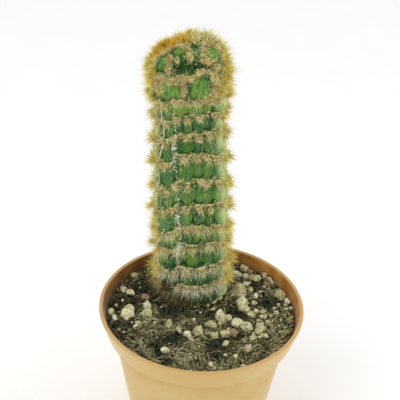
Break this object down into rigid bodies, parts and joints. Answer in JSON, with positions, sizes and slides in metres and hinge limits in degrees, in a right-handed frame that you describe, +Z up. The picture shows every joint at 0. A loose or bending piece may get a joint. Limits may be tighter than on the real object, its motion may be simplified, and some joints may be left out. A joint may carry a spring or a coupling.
{
  "type": "potted monstrose torch cactus",
  "caption": "Columnar monstrose torch cactus with a swollen head, woolly banded areoles and spines, in a round terracotta-coloured nursery pot of peat and grit.",
  "frame": {"origin": "on the ground under the middle of the pot", "axes": "+Z up the plant, +X to the right of the picture, the front faces -Y"},
  "size_m": [0.105, 0.105, 0.2302],
  "materials": {
    "pot_plastic": "satin moulded plastic in pale terracotta",
    "peat_and_grit": "dark fibrous peat with cream pumice grains",
    "cactus_skin": "waxy green skin with tan wool and golden spines"
  },
  "bodies": {
    "root": {"pot": "pot_plastic", "soil": "peat_and_grit", "cactus": "cactus_skin"}
  },
  "joints": []
}
